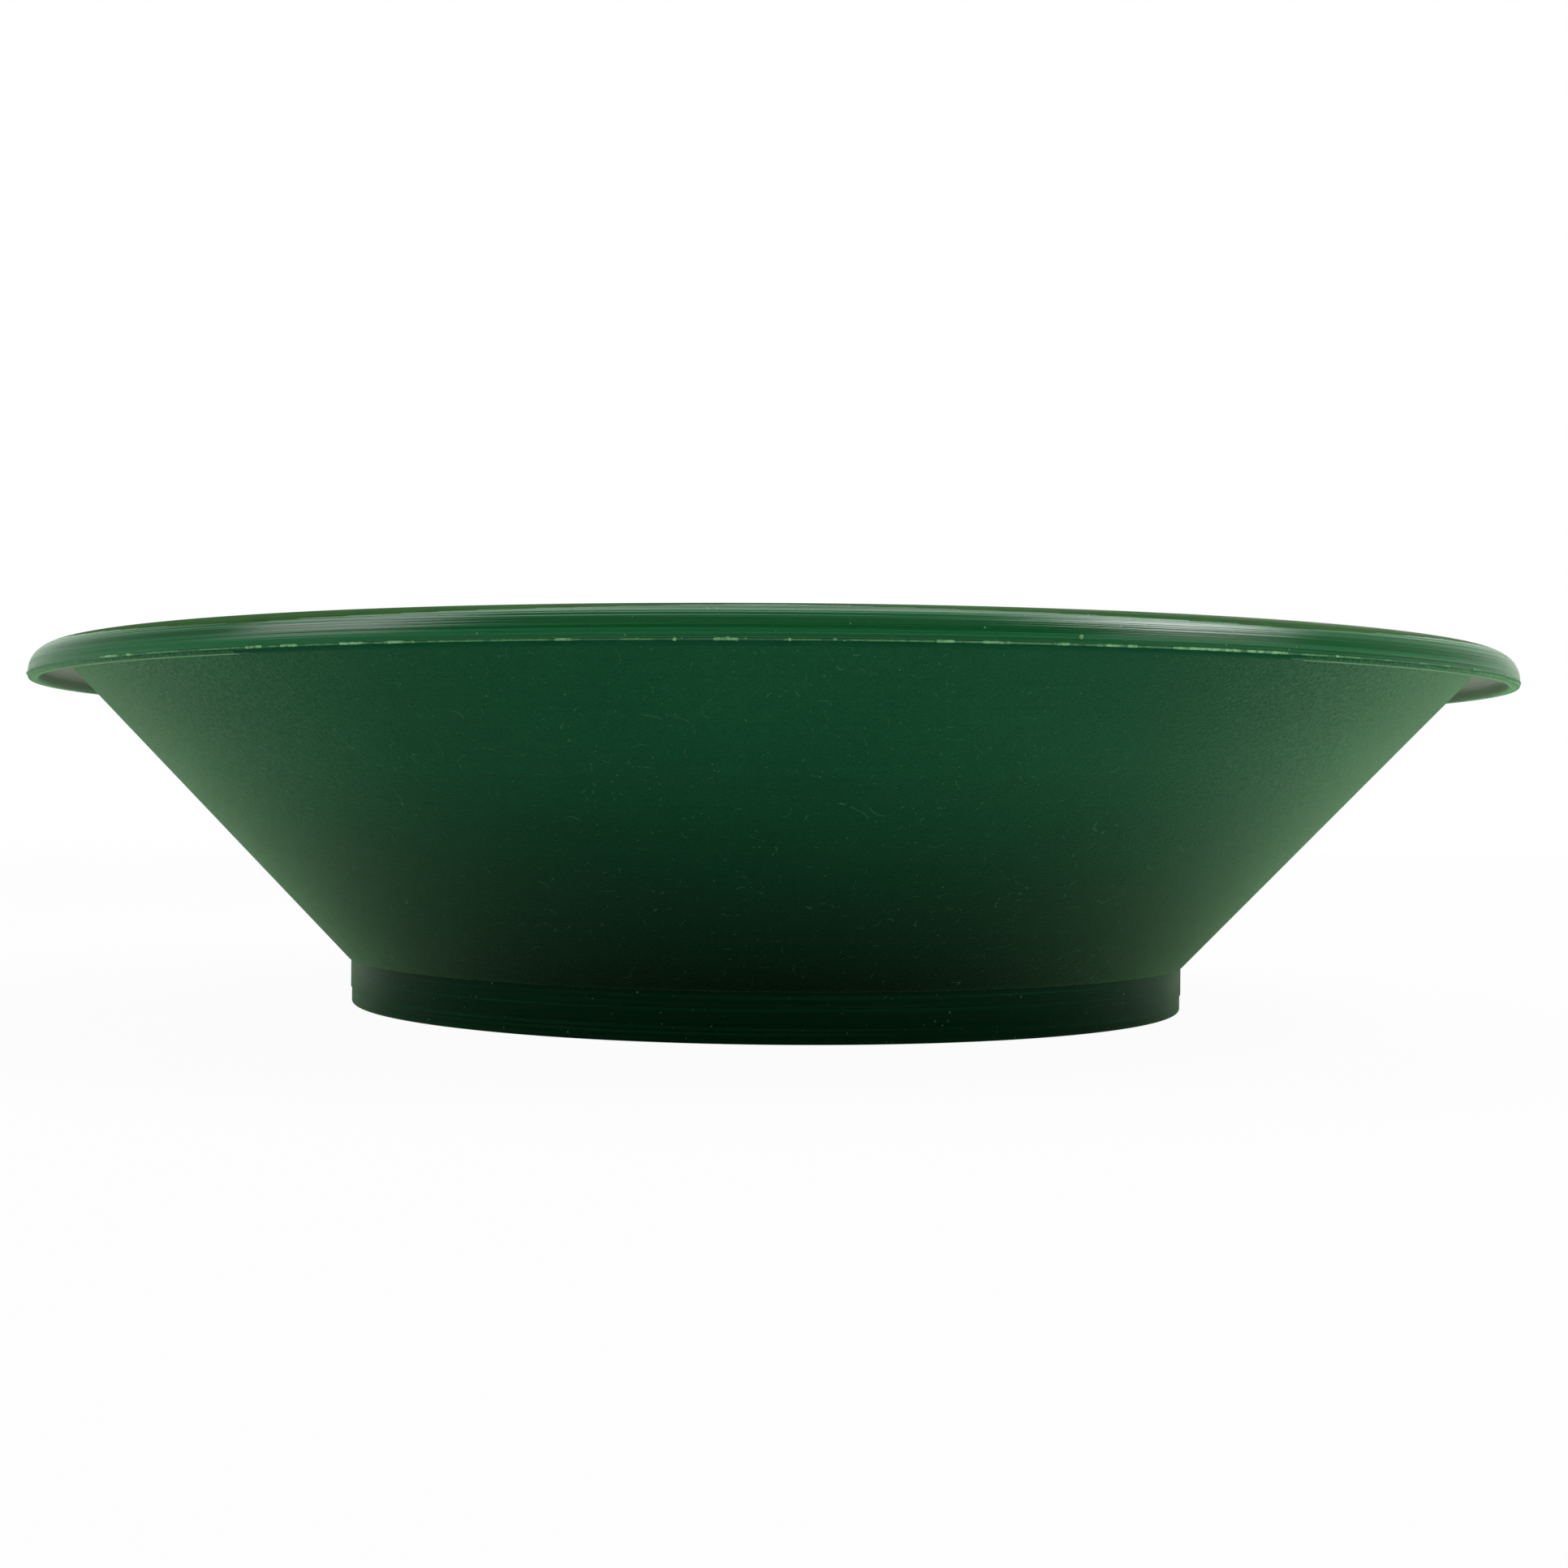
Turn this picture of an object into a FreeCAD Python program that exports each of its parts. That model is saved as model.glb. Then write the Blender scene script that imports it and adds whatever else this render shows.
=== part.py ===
import FreeCAD, Part
import os
import Sketcher

# A 14 inch gold pan, moulded in one piece of polypropylene and drawn as the zones that make it up.
# Millimetres, +Z up, origin at the middle of the circle that the foot ring stands on.  The riffles
# are on the +Y side of the bowl.  The zones meet face to face, with no gap and no overlap.

# ---------------------------------------------------------------- driving dimensions
SIZES = [
    ("rim_radius", 177.4, "outer face of the down-turned lip"),
    ("pan_height", 83.9, "table to the crest of the rim"),
    ("foot_radius", 102.4, "outer face of the foot ring"),
    ("foot_height", 10.9, "table to the lower edge of the sloping wall"),
    ("foot_thickness", 2.8, "wall of the foot ring"),
    ("foot_step_height", 4.0, "table to the small step round the foot ring"),
    ("foot_step_depth", 0.25, "how far the ring is let in below that step"),
    ("foot_edge_round", 0.5, "rounding of the edges that the pan stands on"),
    ("foot_overhang", 0.6, "how far the lower edge of the wall stands out past the ring"),
    ("floor_drop", 2.5, "lower edge of the wall down to the underside of the floor"),
    ("floor_thickness", 2.8, "plate of the floor"),
    ("floor_margin", 5.0, "edge of the flat plate in to the foot ring"),
    ("corner_radius", 6.0, "inside corner between floor and wall"),
    ("wall_thickness", 2.8, "sloping wall, measured square to it"),
    ("lip_thickness", 2.5, "rim flange and down-turned lip"),
    ("lip_drop", 7.7, "crest of the rim down to the bottom of the lip"),
    ("lip_edge_round", 0.6, "rounding of the bottom edges of the lip"),
    ("shoulder_radius", 6.0, "outer roll between flange and lip"),
    ("rim_land", 3.4, "top of the rim, from the mouth to the start of the roll"),
    ("mouth_round", 1.2, "rounding of the inner edge of the mouth"),
    ("channel_round", 0.9, "corner between wall and flange, under the rim"),
    ("rim_root_depth", 6.0, "crest of the rim down to the top of the plain wall"),
    ("flash_rise", 1.0, "bottom of the lip up to the parting line"),
    ("flash_width", 0.4, "how far the parting flash stands out"),
    ("flash_thickness", 0.3, "thickness of the parting flash"),
    ("riffle_first_height", 34.0, "table to the ledge of the lowest riffle"),
    ("riffle_pitch", 14.0, "height from one ledge to the next"),
    ("riffle_ledge", 5.5, "width of each ledge"),
    ("riffle_sweep_angle", 104.0, "degrees of the bowl that the full ledge takes"),
    ("riffle_taper_angle", 6.0, "degrees over which each end runs out into the wall"),
    ("gate_radius", 3.0, "stub left by the gate, under the floor"),
    ("gate_length", 0.9, "how far that stub hangs down"),
]

# Sizes that follow from the driving ones.  The outer face of the wall starts at its lower edge and
# the inner face ends at the mouth, so the lean is the angle that leaves the wall its thickness.
WORKED = [
    ("lower_edge_radius", "sizes.foot_radius + sizes.foot_overhang"),
    ("ring_inside", "sizes.foot_radius - sizes.foot_thickness"),
    ("ring_low_radius", "sizes.foot_radius - sizes.foot_step_depth"),
    ("floor_underside", "sizes.foot_height - sizes.floor_drop"),
    ("floor_top", "floor_underside + sizes.floor_thickness"),
    ("floor_radius", "ring_inside - sizes.floor_margin"),
    ("wall_foot", "floor_top + sizes.corner_radius"),
    ("roll_centre_radius", "sizes.rim_radius - sizes.shoulder_radius"),
    ("roll_centre_height", "sizes.pan_height - sizes.shoulder_radius"),
    ("inner_roll_radius", "sizes.shoulder_radius - sizes.lip_thickness"),
    ("mouth_radius", "roll_centre_radius - sizes.rim_land"),
    ("lip_inside", "sizes.rim_radius - sizes.lip_thickness"),
    ("lip_bottom", "sizes.pan_height - sizes.lip_drop"),
    ("flange_underside", "sizes.pan_height - sizes.lip_thickness"),
    ("rim_root", "sizes.pan_height - sizes.rim_root_depth"),
    ("flash_height", "lip_bottom + sizes.flash_rise"),
    ("wall_run", "mouth_radius - lower_edge_radius"),
    ("wall_rise", "sizes.pan_height - sizes.foot_height"),
    ("wall_lean", "atan(wall_run / wall_rise) + asin(sizes.wall_thickness / hypot(wall_run; wall_rise))"),
    ("wall_width", "sizes.wall_thickness / cos(wall_lean)"),
    ("riffle_depth", "sizes.riffle_ledge / tan(wall_lean)"),
]

FULL_TURN = 360

doc = FreeCAD.newDocument("gold_pan")


def fill_sheet(name, rows, sign):
    sheet = doc.addObject("Spreadsheet::Sheet", name)
    for number, (alias, content, *meaning) in enumerate(rows, start=1):
        sheet.set(f"A{number}", alias)
        sheet.set(f"B{number}", sign + str(content))
        sheet.setAlias(f"B{number}", alias)
        for words in meaning:
            sheet.set(f"C{number}", words)
    doc.recompute()
    return sheet


sizes = fill_sheet("sizes", SIZES, "")
fill_sheet("worked", WORKED, "=")


# ---------------------------------------------------------------- expressions
def value_of(expression):
    result = sizes.evalExpression(expression)
    return float(getattr(result, "Value", result))


def wall_outside(height):
    return f"(worked.lower_edge_radius + ({height} - sizes.foot_height) * tan(worked.wall_lean))"


def wall_inside(height):
    return f"({wall_outside(height)} - worked.wall_width)"


# ---------------------------------------------------------------- drawing helpers
def new_body(label):
    body = doc.addObject("PartDesign::Body", "body_" + label)
    body.Label = label
    return body


def new_sketch(body, name, plane):
    sketch = body.newObject("Sketcher::SketchObject", name)
    for feature in body.Origin.OriginFeatures:
        if feature.Role == plane:
            sketch.AttachmentSupport = [(feature, "")]
    sketch.MapMode = "FlatFace"
    return sketch


def lock(sketch, kind, place, expression):
    # Ties one coordinate of a point to the sheets.  A coordinate of "0" puts the point on an axis.
    if expression == "0":
        axis = -2 if kind == "DistanceX" else -1
        sketch.addConstraint(Sketcher.Constraint("PointOnObject", *place, axis))
        return
    row = sketch.addConstraint(Sketcher.Constraint(kind, -1, 1, *place, value_of(expression)))
    sketch.setExpression(f"Constraints[{row}]", expression)


def add_side(sketch, start, stop, arc):
    # One side from start to stop: straight, or the short way round the centre of an arc.
    # Returns the side and which of its ends is the start and which the stop.
    if arc is None:
        return sketch.addGeometry(Part.LineSegment(start, stop), False), 1, 2
    across, up, radius = arc
    centre = FreeCAD.Vector(value_of(across), value_of(up), 0)
    circle = Part.Circle(centre, FreeCAD.Vector(0, 0, 1), value_of(radius))
    forward = (start - centre).cross(stop - centre).z > 0
    first, last = (start, stop) if forward else (stop, start)
    curve = Part.ArcOfCircle(circle, circle.parameter(first), circle.parameter(last))
    side = sketch.addGeometry(curve, False)
    row = sketch.addConstraint(Sketcher.Constraint("Radius", side, value_of(radius)))
    sketch.setExpression(f"Constraints[{row}]", radius)
    return (side, 1, 2) if forward else (side, 2, 1)


def outline(sketch, corners, arcs=None):
    # A closed outline through the corners, in order, each given as two expressions.  arcs gives,
    # for a corner's number, the centre and radius of the round side that leaves that corner.
    spots = [FreeCAD.Vector(value_of(across), value_of(up), 0) for across, up in corners]
    sides = []
    for number, start in enumerate(spots):
        stop = spots[(number + 1) % len(spots)]
        sides.append(add_side(sketch, start, stop, (arcs or {}).get(number)))
    for number, (across, up) in enumerate(corners):
        side, first, _ = sides[number]
        before, _, last = sides[number - 1]
        sketch.addConstraint(Sketcher.Constraint("Coincident", before, last, side, first))
        lock(sketch, "DistanceX", (side, first), across)
        lock(sketch, "DistanceY", (side, first), up)


def turn_body(label, corners, arcs=None):
    # A ring or disc: its half section, turned once round the Z axis.
    body = new_body(label)
    section = new_sketch(body, label + "_section", "XZ_Plane")
    outline(section, corners, arcs)
    turned = body.newObject("PartDesign::Revolution", label + "_turned")
    turned.Profile = section
    turned.ReferenceAxis = (section, ["V_Axis"])
    turned.Angle = FULL_TURN
    doc.recompute()
    return body


def round_rings(body, name, rings, radius):
    # Rounds the circular edges of a turned body that lie at the given radius and height.
    near = 0.001
    base = body.Tip
    found = []
    for across, up in rings:
        for number, edge in enumerate(base.Shape.Edges, start=1):
            curve = edge.Curve
            if curve.TypeId == "Part::GeomCircle":
                far_across = abs(curve.Radius - value_of(across))
                far_up = abs(curve.Center.z - value_of(up))
                if max(far_across, far_up) < near:
                    found.append(f"Edge{number}")
    if len(found) != len(rings):
        raise RuntimeError(f"{name}: {len(found)} edges found where {len(rings)} were wanted")
    rounded = body.newObject("PartDesign::Fillet", name)
    rounded.Base = (base, found)
    rounded.setExpression("Radius", radius)
    doc.recompute()
    return rounded


# ---------------------------------------------------------------- foot ring
# The hoop that the pan stands on.  A small step shows where the mould's foot insert ends.
def make_foot_ring():
    inner_edge = ("worked.ring_inside", "0")
    outer_edge = ("worked.ring_low_radius", "0")
    body = turn_body("foot_ring", [
        inner_edge,
        outer_edge,
        ("worked.ring_low_radius", "sizes.foot_step_height"),
        ("sizes.foot_radius", "sizes.foot_step_height"),
        ("sizes.foot_radius", "sizes.foot_height"),
        ("worked.ring_inside", "sizes.foot_height"),
    ])
    round_rings(body, "foot_ring_edges", [inner_edge, outer_edge], "sizes.foot_edge_round")
    return body


# ---------------------------------------------------------------- floor
# The flat plate, up to where the inside corner starts.
def make_floor():
    return turn_body("floor", [
        ("0", "worked.floor_underside"),
        ("worked.floor_radius", "worked.floor_underside"),
        ("worked.floor_radius", "worked.floor_top"),
        ("0", "worked.floor_top"),
    ])


# ---------------------------------------------------------------- floor corner
# The edge of the floor, the rounded inside corner and the first of the slope.  Its lower edge
# seats on top of the foot ring and stands out a little past it.
def make_floor_corner():
    inner_corner = (wall_inside("worked.floor_top"), "worked.floor_top")
    body = turn_body("floor_corner", [
        ("worked.floor_radius", "worked.floor_underside"),
        ("worked.ring_inside", "worked.floor_underside"),
        ("worked.ring_inside", "sizes.foot_height"),
        ("worked.lower_edge_radius", "sizes.foot_height"),
        (wall_outside("worked.wall_foot"), "worked.wall_foot"),
        (wall_inside("worked.wall_foot"), "worked.wall_foot"),
        inner_corner,
        ("worked.floor_radius", "worked.floor_top"),
    ])
    round_rings(body, "inside_corner", [inner_corner], "sizes.corner_radius")
    return body


# ---------------------------------------------------------------- side wall
# The plain conical wall between the floor's corner and the root of the rim.
def make_side_wall():
    return turn_body("side_wall", [
        (wall_inside("worked.wall_foot"), "worked.wall_foot"),
        (wall_outside("worked.wall_foot"), "worked.wall_foot"),
        (wall_outside("worked.rim_root"), "worked.rim_root"),
        (wall_inside("worked.rim_root"), "worked.rim_root"),
    ])


# ---------------------------------------------------------------- rim flange
# The top of the wall and the flat land round the mouth that turns outwards from it.
def make_rim_flange():
    mouth_edge = ("worked.mouth_radius", "sizes.pan_height")
    channel_corner = (wall_outside("worked.flange_underside"), "worked.flange_underside")
    body = turn_body("rim_flange", [
        (wall_inside("worked.rim_root"), "worked.rim_root"),
        (wall_outside("worked.rim_root"), "worked.rim_root"),
        channel_corner,
        ("worked.roll_centre_radius", "worked.flange_underside"),
        ("worked.roll_centre_radius", "sizes.pan_height"),
        mouth_edge,
    ])
    round_rings(body, "mouth_edge", [mouth_edge], "sizes.mouth_round")
    round_rings(body, "channel_corner", [channel_corner], "sizes.channel_round")
    return body


# ---------------------------------------------------------------- rim skirt
# The roll that turns down from the flange and ends in the lip that the fingers hook under.
def make_rim_skirt():
    outer_edge = ("sizes.rim_radius", "worked.lip_bottom")
    inner_edge = ("worked.lip_inside", "worked.lip_bottom")
    centre = ("worked.roll_centre_radius", "worked.roll_centre_height")
    body = turn_body("rim_skirt", [
        ("worked.roll_centre_radius", "worked.flange_underside"),
        ("worked.roll_centre_radius", "sizes.pan_height"),
        ("sizes.rim_radius", "worked.roll_centre_height"),
        outer_edge,
        inner_edge,
        ("worked.lip_inside", "worked.roll_centre_height"),
    ], {
        1: (*centre, "sizes.shoulder_radius"),
        5: (*centre, "worked.inner_roll_radius"),
    })
    round_rings(body, "lip_edges", [outer_edge, inner_edge], "sizes.lip_edge_round")
    return body


# ---------------------------------------------------------------- parting flash
# The thin fin left round the lip where the two halves of the mould close.
def make_parting_flash():
    bottom = "worked.flash_height - sizes.flash_thickness / 2"
    top = "worked.flash_height + sizes.flash_thickness / 2"
    return turn_body("parting_flash", [
        ("sizes.rim_radius", bottom),
        ("sizes.rim_radius + sizes.flash_width", bottom),
        ("sizes.rim_radius + sizes.flash_width", top),
        ("sizes.rim_radius", top),
    ])


# ---------------------------------------------------------------- riffles
# Each riffle is a level ledge with an upright face, standing on the inside of the wall.  It is
# padded downwards from its plan, then everything beyond the inner face of the wall is turned away.
# The pad reaches past that face and the cut past the pad, both by a share of the riffle's size.
PAD_REACH = 1.25
CUT_REACH = 1.5


def make_riffle(label, number):
    ledge_height = f"(sizes.riffle_first_height + {number} * sizes.riffle_pitch)"
    face_radius = f"({wall_inside(ledge_height)} - sizes.riffle_ledge)"
    back_radius = f"({face_radius} + {PAD_REACH} * sizes.riffle_ledge)"
    face_angle = "(sizes.riffle_sweep_angle / 2 * 1 deg)"
    back_angle = "((sizes.riffle_sweep_angle / 2 + sizes.riffle_taper_angle) * 1 deg)"

    body = new_body(label)
    plan = new_sketch(body, label + "_plan", "XY_Plane")
    outline(plan, [
        (f"-{face_radius} * sin{face_angle}", f"{face_radius} * cos{face_angle}"),
        (f"{face_radius} * sin{face_angle}", f"{face_radius} * cos{face_angle}"),
        (f"{back_radius} * sin{back_angle}", f"{back_radius} * cos{back_angle}"),
        (f"-{back_radius} * sin{back_angle}", f"{back_radius} * cos{back_angle}"),
    ], {
        0: ("0", "0", face_radius),
        2: ("0", "0", back_radius),
    })
    plan.setExpression("AttachmentOffset.Base.z", ledge_height)
    pad = body.newObject("PartDesign::Pad", label + "_pad")
    pad.Profile = plan
    pad.Reversed = True
    pad.setExpression("Length", f"{PAD_REACH} * worked.riffle_depth")
    doc.recompute()

    below = f"({ledge_height} - {CUT_REACH} * worked.riffle_depth)"
    above = f"({ledge_height} + {CUT_REACH} * worked.riffle_depth)"
    beyond = f"({wall_inside(above)} + sizes.riffle_ledge)"
    section = new_sketch(body, label + "_wall_side", "XZ_Plane")
    outline(section, [
        (wall_inside(below), below),
        (beyond, below),
        (beyond, above),
        (wall_inside(above), above),
    ])
    trim = body.newObject("PartDesign::Groove", label + "_trim")
    trim.Profile = section
    trim.ReferenceAxis = (section, ["V_Axis"])
    trim.Angle = FULL_TURN
    doc.recompute()
    if trim.Shape.Volume > 0.75 * pad.Shape.Volume:
        raise RuntimeError(f"{label}: the wall side was not turned away")
    return body


# ---------------------------------------------------------------- gate stub
# The nub under the middle of the floor where the plastic was fed in, broken off short.
def make_gate_stub():
    stub = doc.addObject("Part::Cone", "body_gate_stub")
    stub.Label = "gate_stub"
    stub.setExpression("Radius1", "sizes.gate_radius - sizes.gate_length / 2")
    stub.setExpression("Radius2", "sizes.gate_radius")
    stub.setExpression("Height", "sizes.gate_length")
    stub.setExpression("Placement.Base.z", "worked.floor_underside - sizes.gate_length")
    return stub


# ---------------------------------------------------------------- build, check, write
subparts = [
    make_foot_ring(),
    make_floor(),
    make_floor_corner(),
    make_side_wall(),
    make_rim_flange(),
    make_rim_skirt(),
    make_parting_flash(),
    make_riffle("riffle_lower", 0),
    make_riffle("riffle_middle", 1),
    make_riffle("riffle_upper", 2),
    make_gate_stub(),
]
doc.recompute()

for item in doc.Objects:
    if "Invalid" in item.State or "Error" in item.State:
        raise RuntimeError(f"{item.Label} did not recompute: {item.State}")

for subpart in subparts:
    solid = subpart.Shape
    if solid.isNull() or not solid.isValid() or len(solid.Solids) != 1:
        raise RuntimeError(f"{subpart.Label} is not one valid solid")

os.makedirs("parts", exist_ok=True)
for subpart in subparts:
    subpart.Shape.exportStep(f"parts/{subpart.Label}.step")
    print(f"{subpart.Label}: {subpart.Shape.Volume / 1000:.2f} cm3")
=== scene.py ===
import bmesh
import bpy
import math
import random
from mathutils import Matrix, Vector


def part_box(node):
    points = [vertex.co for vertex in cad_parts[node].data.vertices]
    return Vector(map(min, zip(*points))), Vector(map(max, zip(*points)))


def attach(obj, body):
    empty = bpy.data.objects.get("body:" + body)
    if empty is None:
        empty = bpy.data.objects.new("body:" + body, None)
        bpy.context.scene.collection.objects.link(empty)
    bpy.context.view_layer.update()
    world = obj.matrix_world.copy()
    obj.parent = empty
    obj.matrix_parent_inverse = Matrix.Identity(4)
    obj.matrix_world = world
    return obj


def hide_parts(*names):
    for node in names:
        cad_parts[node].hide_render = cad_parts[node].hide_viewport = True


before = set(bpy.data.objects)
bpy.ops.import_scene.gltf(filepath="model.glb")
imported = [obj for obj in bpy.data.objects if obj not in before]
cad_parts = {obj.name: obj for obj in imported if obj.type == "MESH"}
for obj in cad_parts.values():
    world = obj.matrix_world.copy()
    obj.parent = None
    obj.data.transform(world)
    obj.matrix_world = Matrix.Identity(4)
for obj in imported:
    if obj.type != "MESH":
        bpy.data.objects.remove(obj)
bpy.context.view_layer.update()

# ======================================================================== camera
# A fairly long lens at table height, a little over half a metre from the pan's axis, level with
# the middle of its side and looking a shade upwards.
CAMERA_DISTANCE = 0.5388
CAMERA_HEIGHT = 0.0503
CAMERA_TILT_UP = 0.0065
CAMERA_ROLL = 0.0083
CAMERA_TURN_LEFT = 0.0320
SENSOR_WIDTH = 36.0
FOCAL_LENGTH = 49.1
SHIFT_RIGHT = 0.056

bpy.ops.object.select_all(action="DESELECT")
bpy.ops.object.camera_add(
    location=(0, -CAMERA_DISTANCE, CAMERA_HEIGHT),
    rotation=(math.radians(90) + CAMERA_TILT_UP, -CAMERA_ROLL, CAMERA_TURN_LEFT),
)
camera = bpy.context.object
camera.name = "camera"
camera.data.sensor_width = SENSOR_WIDTH
camera.data.lens = FOCAL_LENGTH
camera.data.shift_x = SHIFT_RIGHT
camera.data.clip_start = 0.01
camera.data.clip_end = 50
bpy.context.scene.camera = camera

# ======================================================================== studio
# A white table that runs back into a white sweep, in a room that is dark on the camera's side.
# Soft boxes hang at its left and right, a long one over its far side and a small one low behind
# it, and two weak ones light it from low at the front corners, as pale cards would.
TABLE_RADIUS = 12.0
TABLE_PALE = (0.82, 0.82, 0.82, 1.0)
WHITE = (1.0, 1.0, 1.0, 1.0)
# The table's shade as the camera sees it, from this near to this far off, in metres.
SEEN_NEAR, SEEN_FAR = 0.96, 1.0
NEAR_TABLE, FAR_TABLE = 0.5, 2.0
# Its shade in reflections, from in front of the pan's middle to behind it, in metres.
MIRRORED_FRONT, MIRRORED_BACK = 0.05, 0.95
FRONT_TABLE, BACK_TABLE = -0.15, 0.25
# How light the room is by the direction's Y, from -1 in front to 1 behind.
ROOM_LEVELS = ((-0.6, 0.01), (-0.1, 0.04), (0.1, 0.15), (0.5, 0.24), (0.75, 0.45), (1.0, 1.0))
CEILING_LEVEL = 0.22
CEILING_FROM, CEILING_TO = 0.5, 0.8
LAMPS_AIM_HEIGHT = 0.08


def add_node(tree, kind, place, **settings):
    node = tree.nodes.new(kind)
    node.location = place
    for name, value in settings.items():
        setattr(node, name, value)
    return node


def wire(tree, content, socket):
    # Feeds a socket from another node's output, or gives it a plain value.
    if isinstance(content, bpy.types.NodeSocket):
        tree.links.new(content, socket)
    else:
        socket.default_value = content


def calc(tree, operation, place, *terms):
    node = add_node(tree, "ShaderNodeMath", place, operation=operation)
    for socket, content in zip(node.inputs, terms):
        wire(tree, content, socket)
    return node.outputs[0]


def remap(tree, place, value, low, high, to_low=0.0, to_high=1.0):
    node = add_node(tree, "ShaderNodeMapRange", place)
    for socket, content in zip(node.inputs, (value, low, high, to_low, to_high)):
        wire(tree, content, socket)
    return node.outputs["Result"]


def split_place(tree, place):
    # The piece's own coordinates, in metres, and their X, Y and Z.
    where = add_node(tree, "ShaderNodeTexCoord", place)
    parts = add_node(tree, "ShaderNodeSeparateXYZ", (place[0] + 200, place[1]))
    tree.links.new(where.outputs["Object"], parts.inputs[0])
    return where.outputs["Object"], parts.outputs


def from_axis(tree, place, parts):
    # The distance from the Z axis.
    square = calc(tree, "MULTIPLY", place, parts["X"], parts["X"])
    squares = calc(tree, "MULTIPLY_ADD", (place[0] + 150, place[1]), parts["Y"], parts["Y"], square)
    return calc(tree, "SQRT", (place[0] + 300, place[1]), squares)


def build_table():
    bpy.ops.object.select_all(action="DESELECT")
    bpy.ops.mesh.primitive_circle_add(vertices=96, radius=TABLE_RADIUS, fill_type="NGON")
    table = bpy.context.object
    table.name = "table"
    material = bpy.data.materials.new("white_table")
    material.use_nodes = True
    tree = material.node_tree
    tree.nodes.clear()
    out = add_node(tree, "ShaderNodeOutputMaterial", (600, 0))
    top = add_node(tree, "ShaderNodeBsdfDiffuse", (0, 0))
    top.inputs["Color"].default_value = TABLE_PALE
    white = add_node(tree, "ShaderNodeEmission", (0, -200))
    white.inputs["Color"].default_value = WHITE
    _, parts = split_place(tree, (-1500, 0))
    far = remap(tree, (-700, 500), from_axis(tree, (-1200, 400), parts),
                NEAR_TABLE, FAR_TABLE, SEEN_NEAR, SEEN_FAR)
    back = remap(tree, (-700, 100), parts["Y"], FRONT_TABLE, BACK_TABLE,
                 MIRRORED_FRONT, MIRRORED_BACK)
    path = add_node(tree, "ShaderNodeLightPath", (-900, 300))
    seen = calc(tree, "MULTIPLY", (-450, 400), path.outputs["Is Camera Ray"], far)
    mirror = calc(tree, "MAXIMUM", (-650, 250), path.outputs["Is Glossy Ray"],
                  path.outputs["Is Transmission Ray"])
    mirrored = calc(tree, "MULTIPLY", (-450, 200), mirror, back)
    mix = add_node(tree, "ShaderNodeMixShader", (300, 0))
    tree.links.new(calc(tree, "MAXIMUM", (-200, 300), seen, mirrored), mix.inputs[0])
    tree.links.new(top.outputs[0], mix.inputs[1])
    tree.links.new(white.outputs[0], mix.inputs[2])
    tree.links.new(mix.outputs[0], out.inputs["Surface"])
    table.data.materials.append(material)


def build_room():
    world = bpy.data.worlds.new("room")
    bpy.context.scene.world = world
    world.use_nodes = True
    tree = world.node_tree
    tree.nodes.clear()
    out = add_node(tree, "ShaderNodeOutputWorld", (900, 0))
    sky = add_node(tree, "ShaderNodeBackground", (600, 0))
    where = add_node(tree, "ShaderNodeTexCoord", (-900, -200))
    parts = add_node(tree, "ShaderNodeSeparateXYZ", (-700, -200))
    tree.links.new(where.outputs["Generated"], parts.inputs[0])
    depth = calc(tree, "MULTIPLY_ADD", (-550, -200), parts.outputs["Y"], 0.5, 0.5)
    room = add_node(tree, "ShaderNodeValToRGB", (-400, -200))
    stops = room.color_ramp.elements
    for number, (back, level) in enumerate(ROOM_LEVELS):
        stop = stops[number] if number < 2 else stops.new(1.0)
        stop.position = back / 2 + 0.5
        stop.color = (level, level, level, 1.0)
    tree.links.new(depth, room.inputs["Fac"])
    ceiling = remap(tree, (-400, -500), parts.outputs["Z"], CEILING_FROM, CEILING_TO,
                    0.0, CEILING_LEVEL)
    lit = calc(tree, "MAXIMUM", (-100, -200), ceiling, room.outputs["Color"])
    path = add_node(tree, "ShaderNodeLightPath", (-600, 200))
    shown = calc(tree, "MAXIMUM", (0, 0), path.outputs["Is Camera Ray"], lit)
    tree.links.new(shown, sky.inputs["Color"])
    tree.links.new(sky.outputs[0], out.inputs["Surface"])


def hang_soft_box(name, turn, rise, away, wide, high, power):
    # Seen from the middle of the rim, turn is in degrees from -Y towards +X and rise in degrees
    # from level.  The box faces the pan.
    rim = Vector((0, 0, LAMPS_AIM_HEIGHT))
    turn, rise = math.radians(turn), math.radians(rise)
    level = away * math.cos(rise)
    place = rim + Vector((level * math.sin(turn), -level * math.cos(turn), away * math.sin(rise)))
    bpy.ops.object.select_all(action="DESELECT")
    bpy.ops.object.light_add(type="AREA", location=place,
                             rotation=(rim - place).to_track_quat("-Z", "Y").to_euler())
    box = bpy.context.object
    box.name = name
    box.data.shape = "RECTANGLE"
    box.data.size = wide
    box.data.size_y = high
    box.data.energy = power
    box.visible_camera = False


build_table()
build_room()
hang_soft_box("left_soft_box", turn=-80, rise=49, away=1.1, wide=0.50, high=0.40, power=2.4)
hang_soft_box("right_soft_box", turn=82, rise=51, away=1.1, wide=0.50, high=0.41, power=6.1)
hang_soft_box("far_soft_box", turn=180, rise=68, away=1.2, wide=1.20, high=0.38, power=3.2)
hang_soft_box("low_far_box", turn=156, rise=27, away=1.4, wide=0.44, high=0.32, power=1.6)
hang_soft_box("left_card", turn=-68, rise=28, away=1.2, wide=0.55, high=0.42, power=1.5)
hang_soft_box("right_card", turn=62, rise=24, away=1.2, wide=0.55, high=0.42, power=1.1)
bpy.context.scene.view_settings.view_transform = "Standard"

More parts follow.
